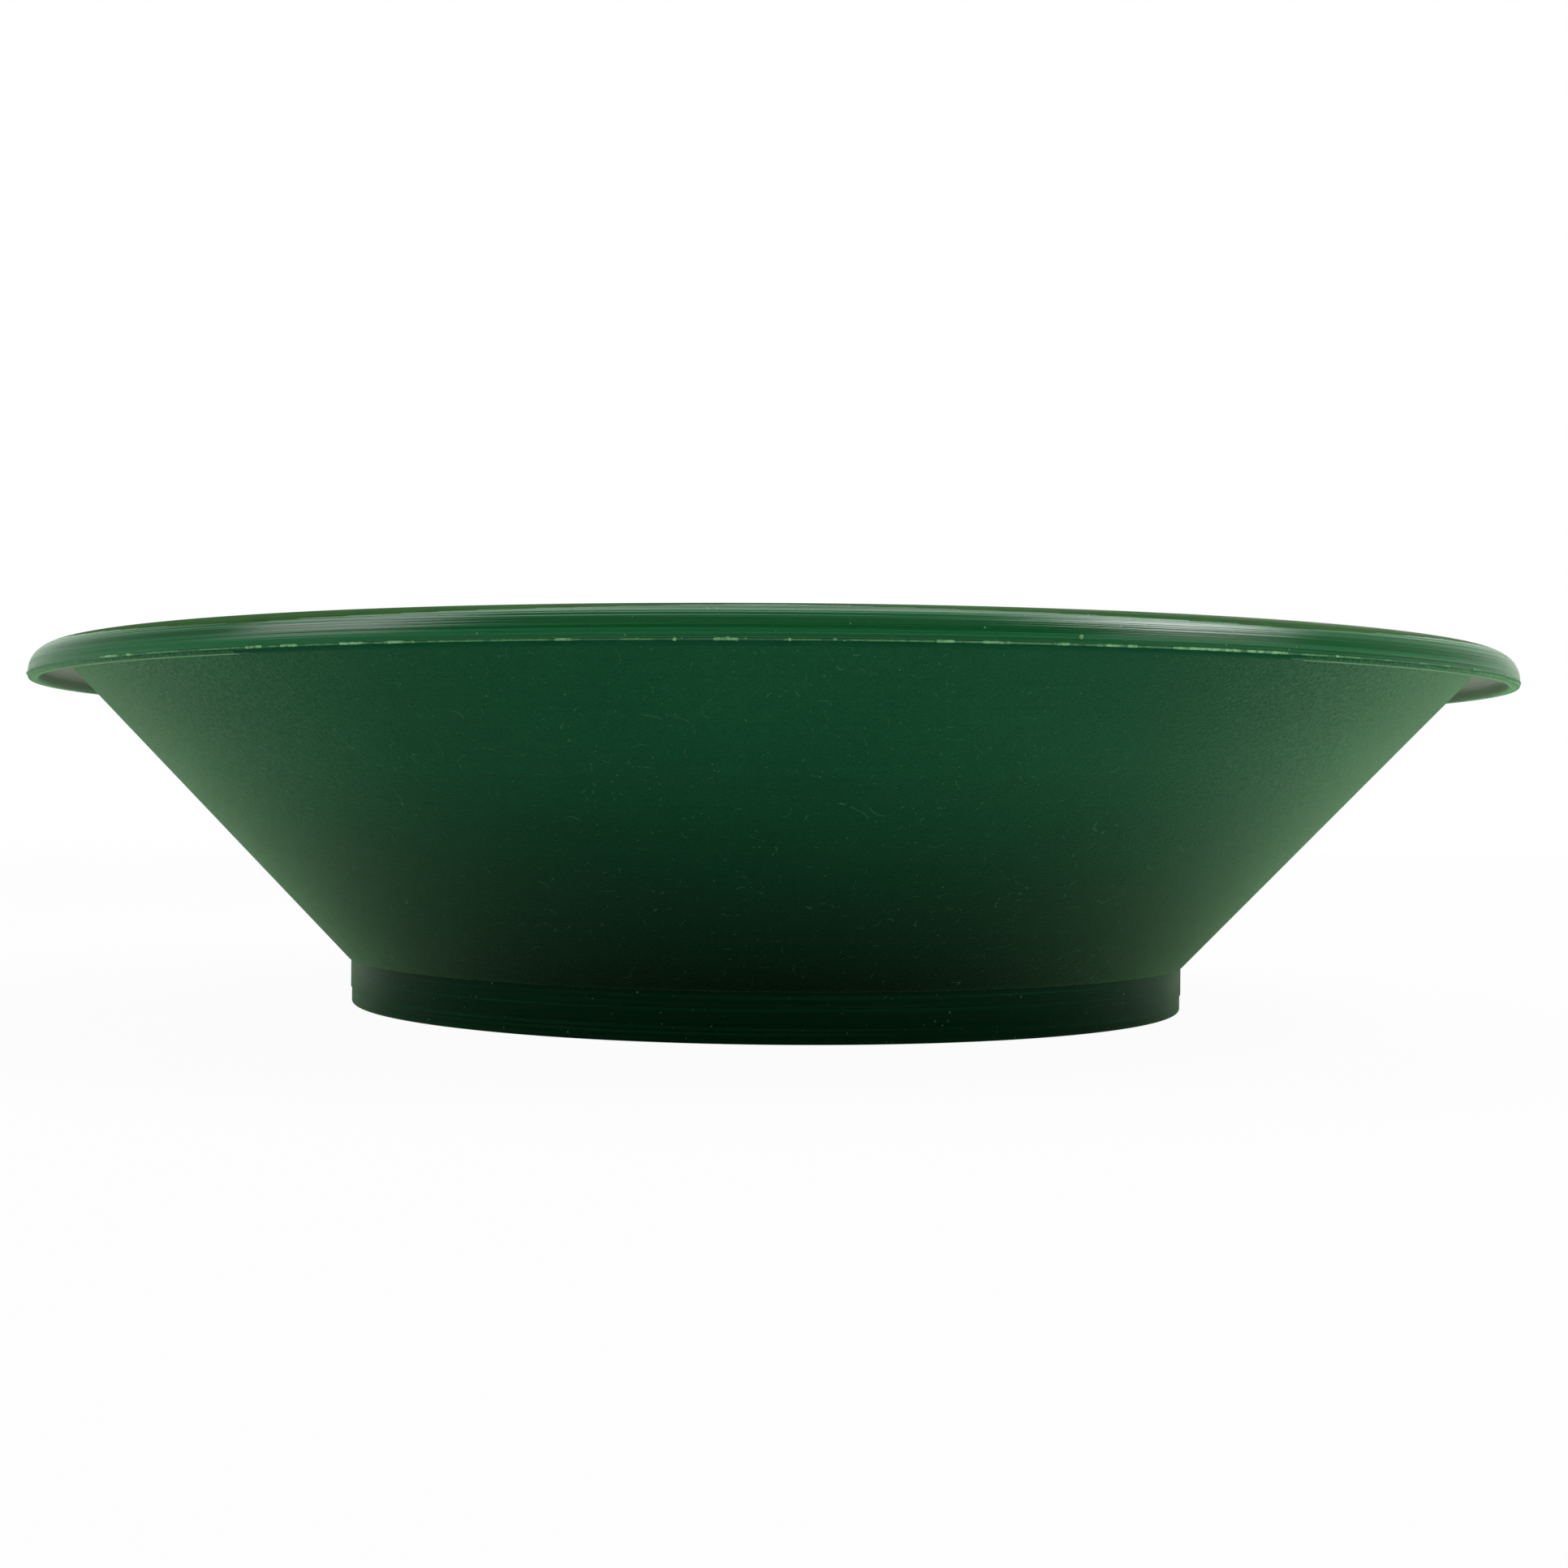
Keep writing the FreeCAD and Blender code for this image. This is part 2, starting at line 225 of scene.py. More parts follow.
# ======================================================================== foot ring
# The hoop that the pan stands on, part of the one polypropylene moulding.  The mould for it was
# cut on a lathe, so fine turning lines run round it, and a small step shows where its insert ends.
MM = 0.001
FOOT_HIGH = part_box("foot_ring")[1]
FOOT_RADIUS = FOOT_HIGH.x / MM
FOOT_TOP = FOOT_HIGH.z / MM
FOOT_WALL = 2.8
FOOT_STEP_HEIGHT = 4.0
FOOT_STEP_DEPTH = 0.25
FOOT_EDGE_ROUND = 0.5
TURNS = 300
FOOT_TOOL_PITCH = 0.3
FOOT_TOOL_DEPTH = 0.012
FOOT_UNMARKED = 0.1
SMOOTH_ANGLE = 35
# What lies within this of a face, in millimetres, counts as on it.
NEARLY = 0.01
PLASTIC_IOR = 1.49
SHEEN_ROUGHNESS = 0.35
GRAIN_PER_METRE = 2600.0
HAIR_SHIFT = (1.0, 2.0, 3.0)
FOOT_GREEN = (0.0010, 0.052, 0.0150, 1)
FOOT_LINE_GREEN = (0.0090, 0.125, 0.0430, 1)
DUST = (0.280, 0.480, 0.260, 1)
SHEEN_GREEN = (0.45, 1.0, 0.45, 1)


def spot(across, up):
    return Vector((across * MM, 0, up * MM))


def choose(piece, kind, wanted):
    # Selects, in edit mode, the vertices, edges or faces that the test wants.
    mesh = bmesh.from_edit_mesh(piece.data)
    bpy.ops.mesh.select_mode(type={"verts": "VERT", "edges": "EDGE", "faces": "FACE"}[kind])
    bpy.ops.mesh.select_all(action="DESELECT")
    for element in getattr(mesh, kind):
        if wanted(element):
            element.select = True
    mesh.select_flush_mode()
    bmesh.update_edit_mesh(piece.data)


def draw_outline(name, corners, closed=True):
    # Half a section in the XZ plane: one point, extruded from corner to corner.
    bpy.ops.object.select_all(action="DESELECT")
    bpy.ops.mesh.primitive_plane_add(size=MM, location=spot(*corners[0]))
    piece = bpy.context.object
    piece.name = name
    bpy.ops.object.transform_apply(location=True)
    bpy.ops.object.mode_set(mode="EDIT")
    bpy.ops.mesh.select_mode(type="VERT")
    bpy.ops.mesh.select_all(action="SELECT")
    bpy.ops.mesh.merge(type="CENTER")
    for start, stop in zip(corners, corners[1:]):
        move = spot(*stop) - spot(*start)
        bpy.ops.mesh.extrude_region_move(TRANSFORM_OT_translate={"value": move})
    if closed:
        choose(piece, "verts", lambda v: len(v.link_edges) == 1)
        bpy.ops.mesh.edge_face_add()
    return piece


def round_corner(piece, corner, reach, steps):
    # Rounds one corner of an outline; reach is from the corner to where the round starts.
    near = 1e-5
    choose(piece, "verts", lambda v: (v.co - spot(*corner)).length < near)
    bpy.ops.mesh.bevel(offset=reach * MM, offset_type="OFFSET", segments=steps, affect="VERTICES",
                       clamp_overlap=False)


def divide_sides(piece, pitch, wanted):
    # Cuts the chosen straight sides of an outline into steps of about the pitch.
    def steps_of(edge):
        return round(edge.calc_length() / (pitch * MM))

    mesh = bmesh.from_edit_mesh(piece.data)
    for steps in sorted({steps_of(e) for e in mesh.edges if wanted(e)}):
        if steps > 1:
            choose(piece, "edges", lambda e: wanted(e) and steps_of(e) == steps)
            bpy.ops.mesh.subdivide(number_cuts=steps - 1)


def tool_marks(piece, depth, seed, wanted):
    # Shifts the chosen points of an outline at random, as a lathe tool leaves its marks.
    choose(piece, "verts", wanted)
    bpy.ops.transform.vertex_random(offset=depth * MM, uniform=0, normal=0, seed=seed)


def close_and_smooth(angle=SMOOTH_ANGLE):
    bpy.ops.mesh.select_mode(type="VERT")
    bpy.ops.mesh.select_all(action="SELECT")
    bpy.ops.mesh.remove_doubles(threshold=0.002 * MM)
    bpy.ops.mesh.normals_make_consistent(inside=False)
    bpy.ops.object.mode_set(mode="OBJECT")
    bpy.ops.object.shade_smooth_by_angle(angle=math.radians(angle))


def turn_outline(turns):
    # Turns an outline once round the Z axis and closes the seam and the poles.
    bpy.ops.mesh.select_all(action="SELECT")
    bpy.ops.mesh.spin(steps=turns, angle=math.tau, center=(0, 0, 0), axis=(0, 0, 1),
                      use_auto_merge=True)
    close_and_smooth()


def blend_colours(tree, place, share, first, second):
    node = add_node(tree, "ShaderNodeMix", place, data_type="RGBA")
    wire(tree, share, node.inputs[0])
    wire(tree, first, node.inputs[6])
    wire(tree, second, node.inputs[7])
    return node.outputs[2]


def shade(tree, place, colour, level):
    node = add_node(tree, "ShaderNodeVectorMath", place, operation="SCALE")
    wire(tree, colour, node.inputs[0])
    wire(tree, level, node.inputs["Scale"])
    return node.outputs[0]


def start_plastic(name, specular, sheen):
    # A Principled shader with the values that are the same all over the plastic.
    material = bpy.data.materials.new(name)
    material.use_nodes = True
    tree = material.node_tree
    shader = tree.nodes["Principled BSDF"]
    shader.location = (1200, 0)
    tree.nodes["Material Output"].location = (1500, 0)
    shader.inputs["IOR"].default_value = PLASTIC_IOR
    shader.inputs["Specular IOR Level"].default_value = specular
    shader.inputs["Sheen Weight"].default_value = sheen
    shader.inputs["Sheen Roughness"].default_value = SHEEN_ROUGHNESS
    shader.inputs["Sheen Tint"].default_value = SHEEN_GREEN
    return material, tree, shader


def lathe_position(tree, across, along, outwards):
    # A place measured round the pan (across, few steps per metre) and along its section (along,
    # many steps per metre), so that a noise read there makes lines round the pan.  The way along
    # the section is the height plus the radius times outwards.
    where, parts = split_place(tree, (-1800, 0))
    radius = from_axis(tree, (-1400, 200), parts)
    path = calc(tree, "MULTIPLY_ADD", (-950, 200), radius, outwards, parts["Z"])
    place = add_node(tree, "ShaderNodeCombineXYZ", (-600, 0))
    wire(tree, calc(tree, "MULTIPLY", (-800, 100), parts["X"], across), place.inputs[0])
    wire(tree, calc(tree, "MULTIPLY", (-800, 0), parts["Y"], across), place.inputs[1])
    wire(tree, calc(tree, "MULTIPLY", (-800, -100), path, along), place.inputs[2])
    return where, parts["Z"], radius, place.outputs[0]


def noise(tree, place, position, scale, detail=2.0, rough=0.5):
    node = add_node(tree, "ShaderNodeTexNoise", place)
    tree.links.new(position, node.inputs["Vector"])
    node.inputs["Scale"].default_value = scale
    node.inputs["Detail"].default_value = detail
    node.inputs["Roughness"].default_value = rough
    return node.outputs["Fac"]


def dust_specks(tree, position, per_metre, size, share):
    # Small pale dots: one at the middle of some of the cells of a Voronoi pattern.
    cells = add_node(tree, "ShaderNodeTexVoronoi", (-600, -700))
    tree.links.new(position, cells.inputs["Vector"])
    cells.inputs["Scale"].default_value = per_metre
    pick = add_node(tree, "ShaderNodeSeparateColor", (-400, -800))
    tree.links.new(cells.outputs["Color"], pick.inputs[0])
    chosen = calc(tree, "LESS_THAN", (-200, -800), pick.outputs[0], share)
    strength = calc(tree, "MULTIPLY", (-50, -800), chosen, pick.outputs[2])
    dot_size = calc(tree, "MULTIPLY_ADD", (-200, -900), pick.outputs[1], size, size * 0.4)
    dot = calc(tree, "LESS_THAN", (0, -700), cells.outputs["Distance"], dot_size)
    return calc(tree, "MULTIPLY", (150, -700), dot, strength)


def fine_hairs(tree, position, scale, thin, share):
    # Short curved threads: a thin level line of one noise, kept only where another is high.
    moved = add_node(tree, "ShaderNodeVectorMath", (-800, -1100), operation="ADD")
    tree.links.new(position, moved.inputs[0])
    moved.inputs[1].default_value = HAIR_SHIFT
    level = noise(tree, (-600, -1100), moved.outputs[0], scale, detail=0.0)
    away = calc(tree, "ABSOLUTE", (-200, -1100), calc(tree, "SUBTRACT", (-400, -1100), level, 0.5))
    line = calc(tree, "LESS_THAN", (0, -1100), away, thin)
    where = noise(tree, (-600, -1300), moved.outputs[0], scale * 4.0, detail=1.0)
    kept = calc(tree, "GREATER_THAN", (0, -1300), where, share)
    return calc(tree, "MULTIPLY", (150, -1100), line, kept)


def bump(tree, place, height, strength, depth, before=None):
    # strength is a share, and depth is in millimetres.
    node = add_node(tree, "ShaderNodeBump", place)
    node.inputs["Strength"].default_value = strength
    node.inputs["Distance"].default_value = depth * MM
    tree.links.new(height, node.inputs["Height"])
    if before is not None:
        tree.links.new(before, node.inputs["Normal"])
    return node.outputs["Normal"]


def turned_foot_plastic():
    # Satin, with fine and coarse turning lines and a little dust.
    material, tree, shader = start_plastic("turned_foot_green", specular=0.07, sheen=1.0)
    place, _, _, lathe = lathe_position(tree, across=6.0, along=1500.0, outwards=-1.0)
    lines = noise(tree, (-300, 300), lathe, 1.0, detail=3.0, rough=0.6)
    coarse = noise(tree, (-300, 100), lathe, 0.35, detail=1.0)
    patch = noise(tree, (-300, -100), place, 30.0, detail=3.0)
    line_share = remap(tree, (0, 300), lines, 0.52, 0.75)
    green = blend_colours(tree, (300, 300), line_share, FOOT_GREEN, FOOT_LINE_GREEN)
    specks = dust_specks(tree, place, per_metre=760.0, size=0.12, share=0.40)
    wire(tree, blend_colours(tree, (600, 300), specks, green, DUST), shader.inputs["Base Color"])
    rough = remap(tree, (0, 0), patch, 0.3, 0.7, 0.34, 0.46)
    wire(tree, calc(tree, "MULTIPLY_ADD", (600, 0), line_share, 0.1, rough),
         shader.inputs["Roughness"])
    ridges = calc(tree, "MULTIPLY_ADD", (300, -100), coarse, 0.8, lines)
    turned = bump(tree, (600, -300), ridges, 0.9, 0.05)
    grain = noise(tree, (300, -500), place, GRAIN_PER_METRE, detail=2.0)
    wire(tree, bump(tree, (900, -300), grain, 0.5, 0.04, turned), shader.inputs["Normal"])
    return material


def build_foot_ring():
    inside = FOOT_RADIUS - FOOT_WALL
    low = FOOT_RADIUS - FOOT_STEP_DEPTH
    piece = draw_outline("foot_hoop", [
        (inside, 0), (low, 0), (low, FOOT_STEP_HEIGHT), (FOOT_RADIUS, FOOT_STEP_HEIGHT),
        (FOOT_RADIUS, FOOT_TOP), (inside, FOOT_TOP),
    ])
    round_corner(piece, (inside, 0), FOOT_EDGE_ROUND, 5)
    round_corner(piece, (low, 0), FOOT_EDGE_ROUND, 5)
    outer = (low - NEARLY) * MM
    divide_sides(piece, FOOT_TOOL_PITCH, lambda e: min(v.co.x for v in e.verts) > outer)
    table_side = (FOOT_EDGE_ROUND + FOOT_UNMARKED) * MM
    roof_side = (FOOT_TOP - FOOT_UNMARKED) * MM
    tool_marks(piece, FOOT_TOOL_DEPTH, 11,
               lambda v: v.co.x > outer and table_side < v.co.z < roof_side)
    turn_outline(TURNS)
    piece.data.materials.append(turned_foot_plastic())
    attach(piece, "root")
    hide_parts("foot_ring")


build_foot_ring()

# ======================================================================== floor
# The flat floor and the rounded corner where the wall starts, moulded with the foot.  Its face
# of the mould was blasted to a fine satin grain, and use has left dust, hairs and scratches.
CORNER_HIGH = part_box("floor_corner")[1]
WALL_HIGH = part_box("side_wall")[1]
FLOOR_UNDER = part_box("floor")[0].z / MM
FLOOR_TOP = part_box("floor")[1].z / MM
WALL_FOOT = CORNER_HIGH.z / MM
WALL_TOP = WALL_HIGH.z / MM
# The wall leans out from its lower edge, and its thickness is given level, not square to it.
LOWER_EDGE_RADIUS = 103.0
LOWER_EDGE_ROUND = 0.12
WALL_SLOPE = (WALL_HIGH.x / MM - LOWER_EDGE_RADIUS) / (WALL_TOP - FOOT_TOP)
WALL_ACROSS = 3.849
CORNER_ROUND = 6.0
FLOOR_PITCH = 1.6
SATIN_GREEN = (0.0100, 0.118, 0.0450, 1)
SATIN_GREEN_DEEP = (0.0045, 0.088, 0.0330, 1)
# Painted shade: the wall's outside darkens to this green towards the foot, fully below the first
# height and not at all above the second, in millimetres.
SATIN_GREEN_PAINTED_SHADE = (0.0008, 0.026, 0.0090, 1)
SATIN_LOW_HEIGHT, SATIN_PALE_HEIGHT = 12.0, 58.0
SCRATCH_GREEN = (0.050, 0.170, 0.075, 1)
# Painted sheen: the wall's left and right are painted paler, more and more
# between these distances from the middle plane, where the sides catch grazing light.
PAINTED_SIDE_SHEEN_GREEN = (0.130, 0.290, 0.150, 1)
PAINTED_SHEEN_FROM, PAINTED_SHEEN_TO = 70.0, 165.0
# How much of the upper wall's tone the bowl side has all over, so that it carries little of the
# painted shade.
BOWL_SHARE = 0.8


def wall_outside(height):
    return LOWER_EDGE_RADIUS + (height - FOOT_TOP) * WALL_SLOPE


def wall_inside(height):
    return wall_outside(height) - WALL_ACROSS


def satin_plastic():
    # The outside is palest near the rim and has painted shade towards the foot; the bowl side is
    # nearly as pale all over.
    material, tree, shader = start_plastic("satin_green", specular=0.07, sheen=1.0)
    place, height, radius, lathe = lathe_position(tree, across=4.0, along=500.0, outwards=0.94)
    across = split_place(tree, (-1800, 900))[1]["X"]
    patch = noise(tree, (-300, 500), place, 14.0, detail=4.0, rough=0.6)
    mottle = noise(tree, (-300, 300), place, 420.0, detail=3.0, rough=0.6)
    lines = noise(tree, (-300, 100), lathe, 1.0, detail=4.0, rough=0.7)
    grain = noise(tree, (-300, -100), place, GRAIN_PER_METRE, detail=2.0, rough=0.6)
    tone = calc(tree, "MULTIPLY_ADD", (0, 400), mottle, 0.35,
                calc(tree, "MULTIPLY_ADD", (0, 500), lines, 0.4, patch))
    upper = blend_colours(tree, (300, 400), remap(tree, (150, 400), tone, 0.6, 1.15),
                          SATIN_GREEN_DEEP, SATIN_GREEN)
    # The wall is a cone, so one line through its thickness parts the bowl side from the outside.
    through = calc(tree, "MULTIPLY_ADD", (-300, 1100), height, -WALL_SLOPE, radius)
    middle = (wall_outside(0) + wall_inside(0)) / 2
    bowl_side = calc(tree, "LESS_THAN", (-100, 1100), through, middle * MM)
    # Painted shade: the pale tone's share grows with height, and the bowl side keeps most of it.
    higher = remap(tree, (0, 700), height, SATIN_LOW_HEIGHT * MM, SATIN_PALE_HEIGHT * MM)
    paled = calc(tree, "MAXIMUM", (150, 600), higher,
                  calc(tree, "MULTIPLY", (50, 1100), bowl_side, BOWL_SHARE))
    even = blend_colours(tree, (400, 500), paled, SATIN_GREEN_PAINTED_SHADE, upper)
    green = shade(tree, (450, 600), even, remap(tree, (300, 700), grain, 0.3, 0.7, 0.80, 1.20))
    # Painted sheen: the upper wall's left and right are painted paler, in patches.
    sides = remap(tree, (-900, 900), calc(tree, "ABSOLUTE", (-1100, 900), across),
                  PAINTED_SHEEN_FROM * MM, PAINTED_SHEEN_TO * MM)
    side_sheen_patch = noise(tree, (-300, 900), place, 1500.0, detail=1.0, rough=0.5)
    painted_side_sheen = calc(tree, "MULTIPLY", (150, 900), calc(tree, "MULTIPLY", (0, 1000), sides, higher),
                remap(tree, (-100, 900), side_sheen_patch, 0.42, 0.68))
    green = blend_colours(tree, (480, 800), painted_side_sheen, green, PAINTED_SIDE_SHEEN_GREEN)
    hairs = fine_hairs(tree, place, scale=140.0, thin=0.0035, share=0.58)
    scratched = blend_colours(tree, (500, 400), hairs, green, SCRATCH_GREEN)
    specks = dust_specks(tree, place, per_metre=900.0, size=0.070, share=1.00)
    wire(tree, blend_colours(tree, (700, 400), specks, scratched, DUST),
         shader.inputs["Base Color"])
    rough = remap(tree, (300, 100), tone, 0.5, 1.1, 0.40, 0.50)
    wire(tree, calc(tree, "MULTIPLY_ADD", (500, 100), grain, 0.08, rough),
         shader.inputs["Roughness"])
    turned = bump(tree, (600, -200), lines, 0.5, 0.04)
    grained = bump(tree, (800, -200), grain, 1.0, 0.13, turned)
    marks = calc(tree, "MAXIMUM", (600, -500), specks, hairs)
    wire(tree, bump(tree, (1000, -200), marks, 0.4, 0.03, grained), shader.inputs["Normal"])
    return material


SATIN = satin_plastic()


def build_floor():
    ring_inside = FOOT_RADIUS - FOOT_WALL
    inner_corner = (wall_inside(FLOOR_TOP), FLOOR_TOP)
    half_turn = (math.pi / 2 - math.atan(WALL_SLOPE)) / 2
    piece = draw_outline("floor_plate", [
        (0, FLOOR_UNDER), (ring_inside, FLOOR_UNDER), (ring_inside, FOOT_TOP),
        (LOWER_EDGE_RADIUS, FOOT_TOP), (wall_outside(WALL_FOOT), WALL_FOOT),
        (wall_inside(WALL_FOOT), WALL_FOOT), inner_corner, (0, FLOOR_TOP),
    ], closed=False)
    round_corner(piece, inner_corner, CORNER_ROUND * math.tan(half_turn), 8)
    round_corner(piece, (LOWER_EDGE_RADIUS, FOOT_TOP), LOWER_EDGE_ROUND, 3)
    flat = (FLOOR_TOP - NEARLY) * MM
    divide_sides(piece, FLOOR_PITCH, lambda e: max(v.co.z for v in e.verts) > flat)
    turn_outline(TURNS)
    piece.data.materials.append(SATIN)
    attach(piece, "root")
    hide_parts("floor", "floor_corner")


build_floor()

# ======================================================================== gate stub
# Under the middle of the floor the plastic was fed into the mould through a small round gate.
# It was snapped off, which left a low nub with a torn, whitened face.
STUB_LOW, STUB_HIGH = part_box("gate_stub")
STUB_END_RADIUS = 2.55
STUB_SUNK = 0.3
# The torn face from its edge to its middle: the width of each ring and how far it stands out.
STUB_RINGS = ((0.15, 0.0), (0.25, -0.14), (0.45, 0.0), (0.45, 0.05), (0.5, 0.03))
# The torn face is rough up to this far in from its edge and this far up.
STUB_EDGE_WHOLE = 0.2
STUB_TORN_UP_TO = 0.3
STUB_TORN_DEPTH = 0.07
TORN_GREEN = (0.060, 0.250, 0.100, 1)
TORN_PALE = (0.330, 0.760, 0.350, 1)


def torn_plastic(name, dull, pale):
    # Where the plastic was stretched before it tore it is whitened, in patches.
    material, tree, shader = start_plastic(name, specular=0.3, sheen=0.2)
    where, _ = split_place(tree, (-1800, 0))
    patch = noise(tree, (-300, 300), where, 700.0, detail=3.0, rough=0.6)
    crumb = noise(tree, (-300, 100), where, 1500.0, detail=4.0, rough=0.7)
    stress = remap(tree, (0, 300), patch, 0.34, 0.56)
    wire(tree, blend_colours(tree, (300, 300), stress, dull, pale), shader.inputs["Base Color"])
    wire(tree, remap(tree, (300, 100), crumb, 0.3, 0.7, 0.40, 0.62), shader.inputs["Roughness"])
    wire(tree, bump(tree, (600, -200), crumb, 0.6, 0.03), shader.inputs["Normal"])
    return material


TORN = torn_plastic("torn_green", TORN_GREEN, TORN_PALE)


def build_gate_stub():
    height = STUB_HIGH.z - STUB_LOW.z + STUB_SUNK * MM
    bpy.ops.object.select_all(action="DESELECT")
    bpy.ops.mesh.primitive_cone_add(vertices=48, radius1=STUB_END_RADIUS * MM, radius2=STUB_HIGH.x,
                                    depth=height, location=(0, 0, STUB_LOW.z + height / 2))
    piece = bpy.context.object
    piece.name = "gate_nub"
    bpy.ops.object.transform_apply(location=True)
    bpy.ops.object.mode_set(mode="EDIT")
    choose(piece, "faces", lambda f: f.normal.z < -0.9)
    for inwards, deeper in STUB_RINGS:
        bpy.ops.mesh.inset(thickness=inwards * MM, depth=deeper * MM)
    bpy.ops.mesh.poke()
    torn = (STUB_END_RADIUS - STUB_EDGE_WHOLE) * MM
    torn_top = STUB_LOW.z + STUB_TORN_UP_TO * MM
    choose(piece, "verts", lambda v: v.co.z < torn_top and v.co.xy.length < torn)
    bpy.ops.transform.vertex_random(offset=STUB_TORN_DEPTH * MM, uniform=0, normal=0, seed=4)
    close_and_smooth(angle=28)
    piece.data.materials.append(TORN)
    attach(piece, "root")
    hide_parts("gate_stub")


build_gate_stub()

# ======================================================================== wall
# The plain cone from the floor's corner up to the rim, with the same satin grain inside and
# outside.  The tool that cut the mould left shallow level waves in it.
WALL_PITCH = 1.6
WALL_WAVE = 0.006
WALL_UNMARKED = 1.0


def build_wall():
    piece = draw_outline("bowl_wall", [
        (wall_inside(WALL_FOOT), WALL_FOOT), (wall_outside(WALL_FOOT), WALL_FOOT),
        (wall_outside(WALL_TOP), WALL_TOP), (wall_inside(WALL_TOP), WALL_TOP),
    ])
    divide_sides(piece, WALL_PITCH, lambda e: abs(e.verts[0].co.z - e.verts[1].co.z) > 10 * MM)
    low, high = (WALL_FOOT + WALL_UNMARKED) * MM, (WALL_TOP - WALL_UNMARKED) * MM
    tool_marks(piece, WALL_WAVE, 5, lambda v: low < v.co.z < high)
    turn_outline(TURNS)
    piece.data.materials.append(SATIN)
    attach(piece, "root")
    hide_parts("side_wall")


build_wall()

# ======================================================================== riffles
# Three ledges across the far side of the bowl, moulded with it, where gold settles as the gravel
# is washed over them.  They run out into the wall at both ends, and gravel has rubbed their edges.
LEDGE_DEPTH = 5.5
LEDGE_SUNK = 0.6
LEDGE_EDGE_ROUND = 0.6
LEDGE_PITCH = 0.8
LEDGE_WAVE = 0.02
LEDGE_TOE_UNMARKED = 1.5
LEDGE_ROOT_UNMARKED = 0.5
# In degrees: half the length at full depth, and the length in which each end runs out.
LEDGE_HALF_TURN = 52
LEDGE_RUN_OUT = 6
LEDGE_END_SHARE = 0.05
EDGE_RUBBED, EDGE_WHOLE = 0.5, 1.5
RUBBED_GREEN = (0.020, 0.165, 0.060, 1)


def rubbed_plastic(edges):
    # The satin plastic, paler near the ledges' inner edges, which stand at these heights.
    material, tree, shader = start_plastic("rubbed_green", specular=0.12, sheen=0.3)
    place, height, radius, _ = lathe_position(tree, across=4.0, along=500.0, outwards=0.94)
    patch = noise(tree, (-300, 500), place, 220.0, detail=4.0, rough=0.6)
    grain = noise(tree, (-300, -100), place, GRAIN_PER_METRE, detail=2.0, rough=0.6)
    green = blend_colours(tree, (0, 500), remap(tree, (-150, 500), patch, 0.35, 0.65),
                          SATIN_GREEN_DEEP, SATIN_GREEN)
    paled = 0.0
    for number, (edge_radius, edge_height) in enumerate(edges):
        row = (-600, -300 * number)
        out = calc(tree, "SUBTRACT", row, radius, edge_radius * MM)
        down = calc(tree, "SUBTRACT", row, height, edge_height * MM)
        square = calc(tree, "MULTIPLY", row, out, out)
        away = calc(tree, "SQRT", row, calc(tree, "MULTIPLY_ADD", row, down, down, square))
        near = remap(tree, row, away, EDGE_RUBBED * MM, EDGE_WHOLE * MM, 1.0, 0.0)
        paled = calc(tree, "MAXIMUM", row, near, paled)
    worn = calc(tree, "MULTIPLY", (150, 300), paled, remap(tree, (0, 300), patch, 0.3, 0.6))
    edged = blend_colours(tree, (300, 500), worn, green, RUBBED_GREEN)
    specks = dust_specks(tree, place, per_metre=760.0, size=0.10, share=0.30)
    wire(tree, blend_colours(tree, (500, 500), specks, edged, DUST), shader.inputs["Base Color"])
    wire(tree, calc(tree, "MULTIPLY_ADD", (500, 100), worn, -0.16, 0.46),
         shader.inputs["Roughness"])
    grained = bump(tree, (800, -200), grain, 0.6, 0.04)
    wire(tree, bump(tree, (1000, -200), specks, 0.6, 0.05, grained), shader.inputs["Normal"])
    return material


def bearing(point):
    return math.degrees(math.atan2(point.y, point.x))


